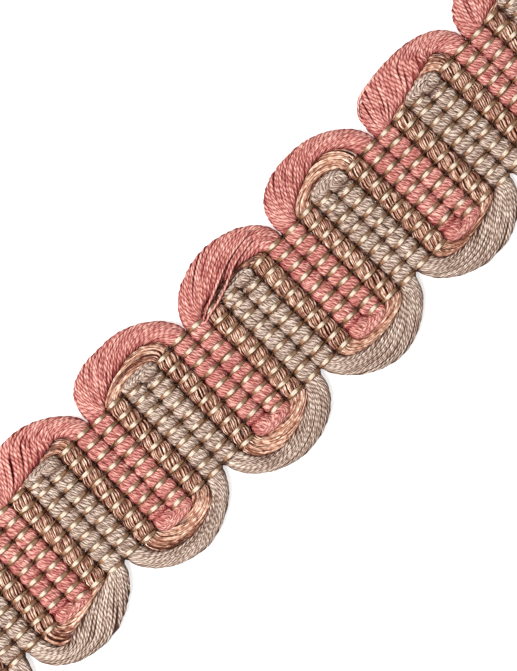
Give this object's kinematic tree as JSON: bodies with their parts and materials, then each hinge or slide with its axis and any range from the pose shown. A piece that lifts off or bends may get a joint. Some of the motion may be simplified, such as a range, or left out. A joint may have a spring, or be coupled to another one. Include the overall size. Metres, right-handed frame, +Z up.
{
  "type": "gimp trimming tape",
  "caption": "Woven gimp trimming tape with crosswise ribs in rose, copper and taupe, bound by fine tan warp lines, with looped scallops on both edges.",
  "frame": {"origin": "under the middle of the whole outline, on the surface that the tape lies on", "axes": "+X along the tape, +Y across it towards the edge with the rose loops, +Z up out of its face"},
  "size_m": [0.137, 0.0328, 0.0026],
  "materials": {
    "rose_yarn": "soft plied yarn, low sheen",
    "copper_yarn": "fine glossy filaments",
    "taupe_yarn": "soft plied yarn, low sheen",
    "warp_thread": "fine glossy thread"
  },
  "bodies": {
    "root": {"rose_bundle": "rose_yarn", "copper_bundle": "copper_yarn", "taupe_bundle": "taupe_yarn", "warp_line_1": "warp_thread", "warp_line_2": "warp_thread", "warp_line_3": "warp_thread", "warp_line_4": "warp_thread", "warp_line_5": "warp_thread", "warp_line_6": "warp_thread", "warp_line_7": "warp_thread", "warp_line_8": "warp_thread", "warp_line_9": "warp_thread"}
  },
  "joints": []
}
